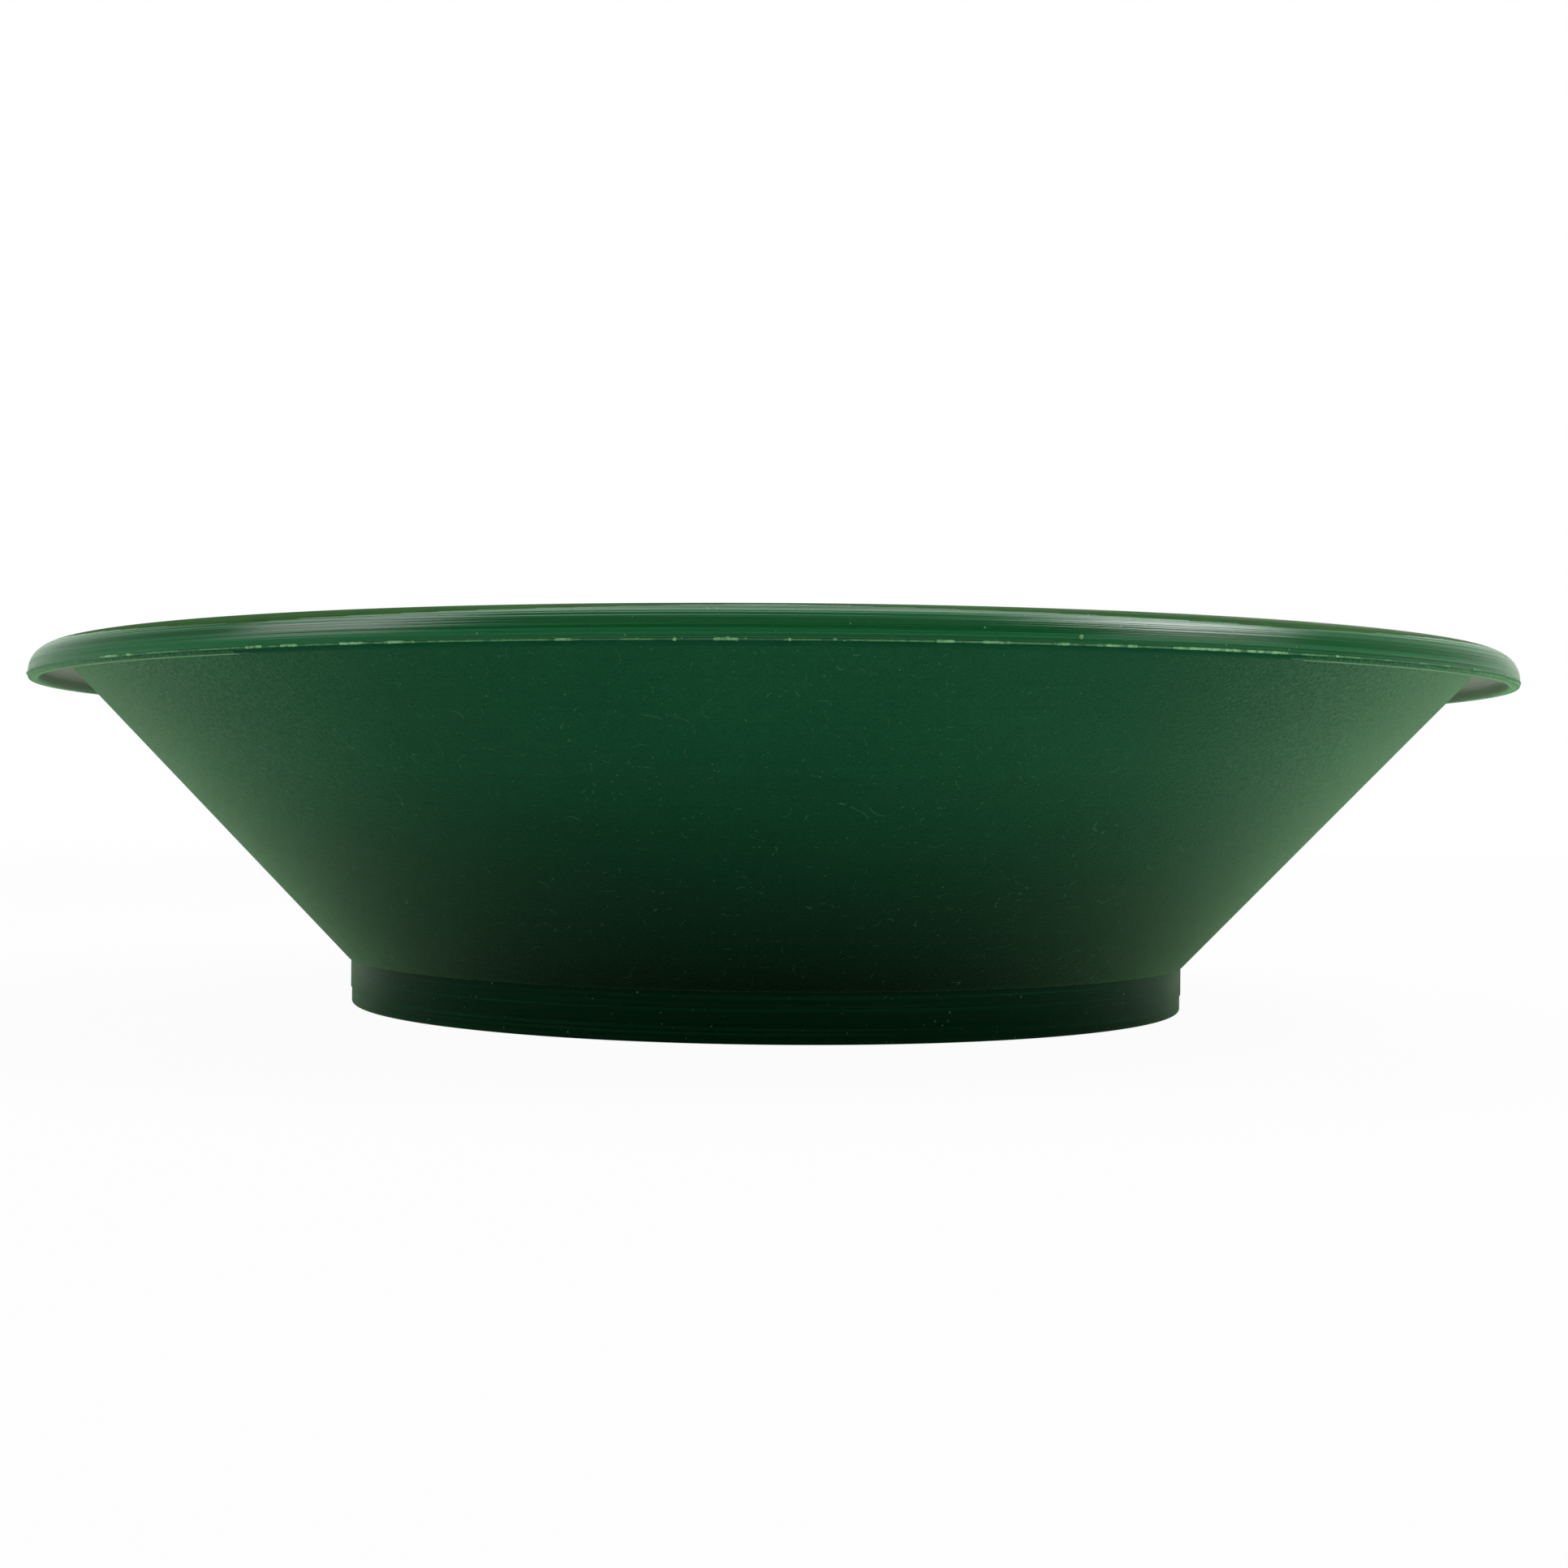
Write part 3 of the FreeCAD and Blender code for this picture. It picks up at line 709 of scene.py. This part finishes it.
def build_riffle(name, node, seed, material):
    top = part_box(node)[1].z / MM
    root = wall_inside(top) + LEDGE_SUNK
    face = wall_inside(top) - LEDGE_DEPTH
    toe = top - (LEDGE_DEPTH + LEDGE_SUNK) / WALL_SLOPE
    piece = draw_outline(name, [(face, top), (root, top), (face, toe)])
    round_corner(piece, (face, top), LEDGE_EDGE_ROUND, 6)
    root_side = (wall_inside(top) - LEDGE_ROOT_UNMARKED) * MM
    divide_sides(piece, LEDGE_PITCH, lambda e: abs(e.verts[0].co.z - e.verts[1].co.z) < 1e-7
                 or abs(e.verts[0].co.x - e.verts[1].co.x) < 1e-7)
    toe_side = (toe + LEDGE_TOE_UNMARKED) * MM
    tool_marks(piece, LEDGE_WAVE, seed, lambda v: v.co.x < root_side and v.co.z > toe_side)
    degrees = 2 * (LEDGE_HALF_TURN + LEDGE_RUN_OUT)
    bpy.ops.mesh.select_all(action="SELECT")
    bpy.ops.mesh.spin(steps=degrees, angle=math.radians(degrees), center=(0, 0, 0), axis=(0, 0, 1))
    bpy.ops.object.mode_set(mode="OBJECT")
    middle = sum((v.co for v in piece.data.vertices), Vector())
    piece.rotation_euler.z = math.radians(90 - bearing(middle))
    bpy.ops.object.transform_apply(rotation=True)
    bpy.ops.object.mode_set(mode="EDIT")
    for side in (-1, 1):
        for step in range(1, LEDGE_RUN_OUT + 1):
            way = 90 + side * (LEDGE_HALF_TURN + step)
            kept = max(1 - step / LEDGE_RUN_OUT, LEDGE_END_SHARE)
            choose(piece, "verts", lambda v: abs(bearing(v.co) - way) < 0.3)
            turn = math.radians(way)
            bpy.ops.transform.resize(value=(kept, kept, kept), center_override=(
                root * MM * math.cos(turn), root * MM * math.sin(turn), top * MM))
        bpy.ops.mesh.edge_face_add()
    close_and_smooth()
    piece.data.materials.append(material)
    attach(piece, "root")
    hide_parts(node)


def build_riffles():
    nodes = ("riffle_lower", "riffle_middle", "riffle_upper")
    tops = [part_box(node)[1].z / MM for node in nodes]
    paled = rubbed_plastic([(wall_inside(top) - LEDGE_DEPTH, top) for top in tops])
    build_riffle("lower_ledge", nodes[0], 21, paled)
    build_riffle("middle_ledge", nodes[1], 22, paled)
    build_riffle("upper_ledge", nodes[2], 23, paled)


build_riffles()

# ======================================================================== rim
# The top of the wall turns out into a flat land and rolls down into the lip, still the same
# moulding.  Its half of the mould was left as turned, so the lip is glossy and finely ringed.
RIM_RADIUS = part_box("rim_skirt")[1].x / MM
PAN_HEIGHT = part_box("rim_skirt")[1].z / MM
LIP_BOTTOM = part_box("rim_skirt")[0].z / MM
LIP_WALL = 2.5
SHOULDER_ROUND = 6.0
LIP_EDGE_ROUND = 0.6
CHANNEL_ROUND = 0.9
MOUTH_ROUND = 1.2
MOUTH_RADIUS = wall_inside(PAN_HEIGHT)
RIM_TOOL_PITCH = 0.2
RIM_TOOL_DEPTH = 0.010
# Tool marks stop this far from the bowl's mouth, from the lip's inner face and from its lower
# edge; on the inner side they are only on this depth of the land.
RIM_UNMARKED = 1.0
INNER_FACE_UNMARKED = 0.2
LIP_EDGE_UNMARKED = 0.8
LAND_MARKED = 1.5
# How far down the worn crest reaches, at the front and this many degrees to either side of it.
CREST_DEPTH_FRONT = 0.40
CREST_DEPTH_MOST = 1.90
CREST_DEEPEST_AT = 33.0
EDGE_WORN_TO = 33.0
# A face belongs to the lip's or the land's outer side from this far past the inner face.
PAST_FACE = 0.05
# The underside between the wall and the lip is painted paler, as painted sheen, from this far off
# the wall.
HOLLOW_OFF_WALL = 1.2
RIM_GREEN = (0.0030, 0.115, 0.0280, 1)
RIM_LINE_GREEN = (0.0180, 0.215, 0.0700, 1)
CREST_OLIVE = (0.024, 0.100, 0.018, 1)
CREST_LINE_OLIVE = (0.055, 0.185, 0.035, 1)
# Pale greens under and behind the lip: painted sheen over the plastic's own turning lines.
HOLLOW_PAINTED_SHEEN_GREEN = (0.270, 0.350, 0.215, 1)
HOLLOW_LINE_PAINTED_SHEEN_GREEN = (0.460, 0.540, 0.390, 1)


def turned_rim_plastic():
    # Glossy, with fine turning lines among broader ones and a slow waviness.
    material, tree, shader = start_plastic("turned_rim_green", specular=0.5, sheen=0.4)
    place, _, _, lathe = lathe_position(tree, across=3.0, along=1800.0, outwards=-1.0)
    lines = noise(tree, (-300, 500), lathe, 1.0, detail=2.5, rough=0.5)
    broad = noise(tree, (-300, 300), lathe, 0.42, detail=2.0, rough=0.6)
    patch = noise(tree, (-300, 100), place, 22.0, detail=3.0)
    line_share = remap(tree, (0, 500), calc(tree, "ADD", (-150, 400), lines, broad), 0.92, 1.18)
    green = blend_colours(tree, (300, 500), line_share, RIM_GREEN, RIM_LINE_GREEN)
    specks = dust_specks(tree, place, per_metre=700.0, size=0.09, share=0.22)
    wire(tree, blend_colours(tree, (700, 500), specks, green, DUST), shader.inputs["Base Color"])
    rough = remap(tree, (300, 100), broad, 0.3, 0.7, 0.11, 0.22)
    wire(tree, calc(tree, "MULTIPLY_ADD", (500, 100), line_share, 0.08, rough),
         shader.inputs["Roughness"])
    ridges = calc(tree, "MULTIPLY_ADD", (300, -100), lines, 1.7, broad)
    turned = bump(tree, (600, -300), calc(tree, "ADD", (450, -100), ridges, patch), 1.0, 0.105)
    wire(tree, bump(tree, (900, -300), specks, 0.5, 0.05, turned), shader.inputs["Normal"])
    return material


def worn_rim_plastic(name, green, line_green):
    # Where the pan has stood upside down the gloss is worn off, and dirt sits in the lines.
    material, tree, shader = start_plastic(name, specular=0.05, sheen=0.0)
    place, _, _, lathe = lathe_position(tree, across=7.0, along=2400.0, outwards=-1.0)
    lines = noise(tree, (-300, 300), lathe, 1.0, detail=3.0, rough=0.7)
    patch = noise(tree, (-300, 100), place, 120.0, detail=3.0)
    share = calc(tree, "MULTIPLY", (0, 300), remap(tree, (-150, 300), lines, 0.4, 0.7),
                 remap(tree, (-150, 100), patch, 0.3, 0.6))
    wire(tree, blend_colours(tree, (300, 300), share, green, line_green),
         shader.inputs["Base Color"])
    wire(tree, remap(tree, (300, 100), patch, 0.3, 0.7, 0.50, 0.62), shader.inputs["Roughness"])
    wire(tree, bump(tree, (600, -200), lines, 0.8, 0.03), shader.inputs["Normal"])
    return material


def hollow_plastic():
    # Under and behind the lip the tool's lines are coarser and nothing polishes them. The pale
    # greens there are painted sheen, standing in for grazing reflection.
    material, tree, shader = start_plastic("hollow_painted_sheen_green", specular=0.25, sheen=0.1)
    place, _, _, lathe = lathe_position(tree, across=6.0, along=1300.0, outwards=-1.0)
    lines = noise(tree, (-300, 300), lathe, 1.0, detail=3.0, rough=0.7)
    patch = noise(tree, (-300, 100), place, 60.0, detail=3.0)
    share = calc(tree, "MULTIPLY_ADD", (0, 300), patch, 0.4,
                 remap(tree, (-150, 300), lines, 0.45, 0.75))
    wire(tree, blend_colours(tree, (300, 300), share, HOLLOW_PAINTED_SHEEN_GREEN, HOLLOW_LINE_PAINTED_SHEEN_GREEN),
         shader.inputs["Base Color"])
    wire(tree, remap(tree, (300, 100), lines, 0.3, 0.7, 0.38, 0.52), shader.inputs["Roughness"])
    wire(tree, bump(tree, (600, -200), lines, 0.8, 0.04), shader.inputs["Normal"])
    return material


WALL_FACE = (wall_outside(PAN_HEIGHT - LIP_WALL) + HOLLOW_OFF_WALL) * MM
LIP_FACE = (RIM_RADIUS - LIP_WALL + PAST_FACE) * MM
LAND_FACE = (PAN_HEIGHT - LIP_WALL + PAST_FACE) * MM
MOUTH_SIDE = (MOUTH_RADIUS - MOUTH_ROUND / 2) * MM
MOULD_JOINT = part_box("parting_flash")[0].z


def in_hollow(point):
    # Under the land and behind the lip.
    return WALL_FACE < point.xy.length < LIP_FACE and point.z < LAND_FACE


def on_satin(point):
    # The bowl side, the wall's outside up to the land, and the lip below the mould's joint.
    out = point.xy.length
    return (out < MOUTH_SIDE or out < WALL_FACE and point.z < LAND_FACE
            or out > LIP_FACE and point.z < MOULD_JOINT)


def turn_from_front(point):
    return abs(math.degrees(math.atan2(point.x, -point.y)))


def on_worn_crest(point):
    # The worn band is narrow at the front and reaches furthest down a little to either side.
    turn = turn_from_front(point)
    share = max(0.0, 1 - abs(turn / CREST_DEEPEST_AT - 1))
    depth = CREST_DEPTH_FRONT + (CREST_DEPTH_MOST - CREST_DEPTH_FRONT) * share
    inner = (RIM_RADIUS - SHOULDER_ROUND - RIM_UNMARKED) * MM
    return point.z > (PAN_HEIGHT - depth) * MM and point.xy.length > inner


def on_worn_edge(point):
    # The lip's lower edge is worn the same way, at the front only.
    return (turn_from_front(point) < EDGE_WORN_TO and point.xy.length > LIP_FACE
            and point.z < (LIP_BOTTOM + LIP_EDGE_ROUND) * MM)


def build_rim():
    # The crest stays a tool mark's depth below the full height.
    crest = PAN_HEIGHT - RIM_TOOL_DEPTH
    half_turn = math.tan((math.pi / 2 - math.atan(WALL_SLOPE)) / 2)
    channel = (wall_outside(PAN_HEIGHT - LIP_WALL), PAN_HEIGHT - LIP_WALL)
    mouth = (MOUTH_RADIUS, crest)
    roll_inside = (RIM_RADIUS - LIP_WALL, PAN_HEIGHT - LIP_WALL)
    lip_inside = (RIM_RADIUS - LIP_WALL, LIP_BOTTOM)
    lip_outside = (RIM_RADIUS, LIP_BOTTOM)
    shoulder = (RIM_RADIUS, crest)
    piece = draw_outline("rolled_rim", [
        (wall_inside(WALL_TOP), WALL_TOP), (wall_outside(WALL_TOP), WALL_TOP), channel,
        roll_inside, lip_inside, lip_outside, shoulder, mouth,
    ])
    round_corner(piece, channel, CHANNEL_ROUND * half_turn, 4)
    round_corner(piece, roll_inside, SHOULDER_ROUND - LIP_WALL, 12)
    round_corner(piece, lip_inside, LIP_EDGE_ROUND, 5)
    round_corner(piece, lip_outside, LIP_EDGE_ROUND, 5)
    round_corner(piece, shoulder, SHOULDER_ROUND, 44)
    round_corner(piece, mouth, MOUTH_ROUND * half_turn, 6)
    flat = (crest - NEARLY) * MM
    face = (RIM_RADIUS - NEARLY) * MM
    divide_sides(piece, RIM_TOOL_PITCH, lambda e: min(v.co.z for v in e.verts) > flat
                 or min(v.co.x for v in e.verts) > face)
    inner_face = (RIM_RADIUS - LIP_WALL + INNER_FACE_UNMARKED) * MM
    tool_marks(piece, RIM_TOOL_DEPTH, 3,
               lambda v: v.co.x > (MOUTH_RADIUS + RIM_UNMARKED) * MM
               and v.co.z > (LIP_BOTTOM + LIP_EDGE_UNMARKED) * MM
               and (v.co.x > inner_face or v.co.z > (PAN_HEIGHT - LAND_MARKED) * MM))
    turn_outline(TURNS)
    crest_look = worn_rim_plastic("worn_crest_olive", CREST_OLIVE, CREST_LINE_OLIVE)
    edge_look = worn_rim_plastic("worn_lip_edge_green", SATIN_GREEN_DEEP, SATIN_GREEN)
    for material in (turned_rim_plastic(), hollow_plastic(), SATIN, crest_look, edge_look):
        piece.data.materials.append(material)
    bpy.ops.object.mode_set(mode="EDIT")
    for slot, belongs in ((1, in_hollow), (2, on_satin), (3, on_worn_crest), (4, on_worn_edge)):
        choose(piece, "faces", lambda f: belongs(f.calc_center_median()))
        piece.active_material_index = slot
        bpy.ops.object.material_slot_assign()
    bpy.ops.object.mode_set(mode="OBJECT")
    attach(piece, "root")
    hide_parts("rim_flange", "rim_skirt")


build_rim()

# ======================================================================== flash
# Plastic crept into the joint of the mould round the lip and set as a thin ragged fin.  Where it
# stands out it is torn and pale, partly stress whitening and partly painted highlight where it
# catches the light, and crumbs and one loose chip still hang on it.
FIN_LOW, FIN_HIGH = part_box("parting_flash")
FIN_LINE = (FIN_LOW.z + FIN_HIGH.z) / 2 / MM
FIN_TURNS = 2880
FIN_THICK = 0.30
FIN_TIP_UNDER, FIN_TIP_OVER = 0.13, 0.14
FIN_SUNK = 0.3
FIN_ROOT_WIDER = 0.03
FIN_STANDS_OUT = 0.12
FIN_RAGGED = 0.05
# How much further the fin reaches out at each level of tearing, and how much thicker it is.
FIN_LEVELS = ((0.0, 1.0), (0.07, 1.0), (0.13, 1.0), (0.18, 1.6), (0.23, 1.6))
FIN_GREEN = (0.035, 0.200, 0.070, 1)
FIN_WHITENED_AND_PAINTED_HIGHLIGHT = (0.130, 0.420, 0.160, 1)
# From, to (in degrees from -Y towards +X), how far out and how pale, 0 to 4; the paleness is partly
# painted highlight.
FIN_DASHES = (
    (-48.0, -45.4, 3), (-44.8, -43.5, 3), (-42.0, -38.5, 2), (-36.5, -33.0, 2),
    (-32.4, -31.0, 3), (-30.6, -30.0, 2), (-29.6, -28.4, 3), (-27.8, -25.8, 2),
    (-25.2, -23.4, 3), (-22.9, -22.2, 2), (-22.1, -20.0, 4), (-19.4, -16.0, 2),
    (-15.5, -12.0, 2), (-11.6, -10.2, 3), (-8.0, -6.0, 1), (-2.8, -1.4, 3),
    (1.0, 3.0, 1), (4.8, 9.2, 2), (9.4, 14.2, 3), (14.3, 16.0, 2), (16.1, 17.6, 4),
    (18.2, 23.5, 4), (23.7, 28.6, 4), (28.8, 32.0, 4),
    (33.0, 35.4, 2), (36.0, 38.2, 3), (40.7, 41.5, 2), (44.6, 45.6, 2), (47.6, 48.8, 2),
)
# Dashes at random on the far side.  Along every dash, flakes are torn off short lengths.
FIN_HIDDEN_DASHES = 46
FIN_HIDDEN_FROM, FIN_HIDDEN_TO = 52, 304
FLAKE_ENDS_SHARE = 0.16
FLAKE_DEPTHS = (0, 0, 1, 1, 2)
# Degrees, height over the fin, and size of each crumb; the highest and largest is the loose chip.
CRUMBS = (
    (-7.1, 0.05, 0.62), (-5.0, 0.0, 0.72), (-4.6, 0.1, 0.4), (-2.6, 0.05, 0.75), (-2.1, 0.25, 0.8),
    (-1.6, -0.05, 0.7), (-1.1, 0.1, 0.45), (1.3, 0.0, 0.62), (3.8, 0.1, 0.66), (4.3, -0.1, 0.35),
    (8.2, 0.0, 0.4), (17.8, 1.35, 0.9), (24.6, 0.1, 0.5), (30.2, 0.0, 0.45), (-22.4, 0.05, 0.45),
)
CRUMB_ROUGHNESS = 0.06
CRUMB_SMOOTH_ANGLE = 50
# A crumb's length, thickness and height, as shares of its size.
CRUMB_LENGTHS = (0.8, 1.2)
CRUMB_THICKNESS = 0.5
CRUMB_HEIGHTS = (0.6, 0.9)


def column_of(point):
    # Which of the fin's columns a point belongs to, counted from -Y towards +X.
    return round((bearing(point) + 90) / 360 * FIN_TURNS) % FIN_TURNS


def plan_fin():
    # How far out each column of the fin reaches, as a step of FIN_LEVELS.
    chance = random.Random(14)
    dashes = list(FIN_DASHES)
    for _ in range(FIN_HIDDEN_DASHES):
        start = chance.uniform(FIN_HIDDEN_FROM, FIN_HIDDEN_TO)
        dashes.append((start, start + chance.uniform(0.4, 5.0), chance.randint(1, 4)))
    reach = [0] * FIN_TURNS
    for start, stop, level in dashes:
        first = round(start / 360 * FIN_TURNS)
        torn_off = 0
        for column in range(first, round(stop / 360 * FIN_TURNS)):
            if chance.random() < FLAKE_ENDS_SHARE:
                torn_off = chance.choice(FLAKE_DEPTHS)
            reach[column % FIN_TURNS] = max(level - torn_off, 1)
    return reach


def build_fin():
    reach = plan_fin()
    tip = RIM_RADIUS + FIN_STANDS_OUT
    half = FIN_THICK / 2
    piece = draw_outline("lip_flash", [
        (RIM_RADIUS - FIN_SUNK, FIN_LINE - half - FIN_ROOT_WIDER),
        (RIM_RADIUS + NEARLY, FIN_LINE - half),
        (tip, FIN_LINE - FIN_TIP_UNDER), (tip, FIN_LINE + FIN_TIP_OVER),
        (RIM_RADIUS + NEARLY, FIN_LINE + half),
        (RIM_RADIUS - FIN_SUNK, FIN_LINE + half + FIN_ROOT_WIDER),
    ])
    turn_outline(FIN_TURNS)
    bpy.ops.object.mode_set(mode="EDIT")
    edge = (RIM_RADIUS + FIN_STANDS_OUT / 2) * MM
    for level, (further, thicker) in enumerate(FIN_LEVELS):
        if level:
            wider = (tip + further) / tip
            choose(piece, "verts",
                   lambda v: v.co.xy.length > edge and reach[column_of(v.co)] == level)
            bpy.ops.transform.resize(value=(wider, wider, thicker),
                                     center_override=(0, 0, FIN_LINE * MM))
    choose(piece, "verts", lambda v: v.co.xy.length > edge)
    bpy.ops.transform.vertex_random(offset=FIN_RAGGED * MM, uniform=0, normal=0, seed=9)
    # The paler fin colours are partly stress whitening and partly painted highlight.
    piece.data.materials.append(torn_plastic("fin_green", FIN_GREEN, TORN_GREEN))
    piece.data.materials.append(torn_plastic("fin_torn_and_painted_highlight_green", TORN_GREEN, FIN_WHITENED_AND_PAINTED_HIGHLIGHT))
    piece.data.materials.append(torn_plastic("fin_pale_and_painted_highlight_green", TORN_GREEN, TORN_PALE))
    for slot, (low, high) in ((1, (1, 2)), (2, (3, 4))):
        choose(piece, "faces",
               lambda f: low <= reach[column_of(f.calc_center_median())] <= high)
        piece.active_material_index = slot
        bpy.ops.object.material_slot_assign()
    bpy.ops.object.mode_set(mode="OBJECT")
    return piece


def build_crumbs():
    # One crumb is shaped and the others are turned, stretched copies of it.
    bpy.ops.object.select_all(action="DESELECT")
    bpy.ops.mesh.primitive_ico_sphere_add(subdivisions=3, radius=0.5 * MM)
    first = bpy.context.object
    first.name = "crumb"
    bpy.ops.object.mode_set(mode="EDIT")
    bpy.ops.mesh.select_all(action="SELECT")
    bpy.ops.transform.vertex_random(offset=CRUMB_ROUGHNESS * MM, uniform=0, normal=0, seed=2)
    choose(first, "verts", lambda v: v.co.x + v.co.z > 0.3 * MM)
    bpy.ops.transform.resize(value=(0.75, 1.2, 0.7), center_override=(0, 0, 0))
    choose(first, "verts", lambda v: v.co.y - v.co.z > 0.45 * MM)
    bpy.ops.transform.resize(value=(1.1, 0.8, 1.25), center_override=(0, 0, 0))
    bpy.ops.object.mode_set(mode="OBJECT")
    bpy.ops.object.shade_smooth_by_angle(angle=math.radians(CRUMB_SMOOTH_ANGLE))
    first.data.materials.append(torn_plastic("crumb_green", FIN_GREEN, TORN_PALE))
    chance = random.Random(6)
    crumbs = []
    for degrees, up, size in CRUMBS:
        bpy.ops.object.select_all(action="DESELECT")
        first.select_set(True)
        bpy.context.view_layer.objects.active = first
        bpy.ops.object.duplicate(linked=False)
        crumb = bpy.context.object
        crumb.rotation_euler = [chance.uniform(0, math.tau) for _ in range(3)]
        bpy.ops.object.transform_apply(rotation=True)
        crumb.scale = (size * chance.uniform(*CRUMB_LENGTHS), CRUMB_THICKNESS * size,
                       size * chance.uniform(*CRUMB_HEIGHTS))
        bpy.ops.object.transform_apply(scale=True)
        thick = max(abs(v.co.y) for v in crumb.data.vertices)
        turn = math.radians(degrees - 90)
        out = min(RIM_RADIUS * MM + 0.3 * thick, FIN_HIGH.x - thick)
        crumb.location = (out * math.cos(turn), out * math.sin(turn), (FIN_LINE + up) * MM)
        crumb.rotation_euler = (0, 0, math.radians(degrees))
        bpy.ops.object.transform_apply(location=True, rotation=True)
        crumbs.append(crumb)
    bpy.data.objects.remove(first)
    return crumbs


def build_flash():
    piece = build_fin()
    crumbs = build_crumbs()
    bpy.ops.object.select_all(action="DESELECT")
    for crumb in crumbs:
        crumb.select_set(True)
    piece.select_set(True)
    bpy.context.view_layer.objects.active = piece
    bpy.ops.object.join()
    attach(piece, "root")
    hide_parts("parting_flash")


build_flash()
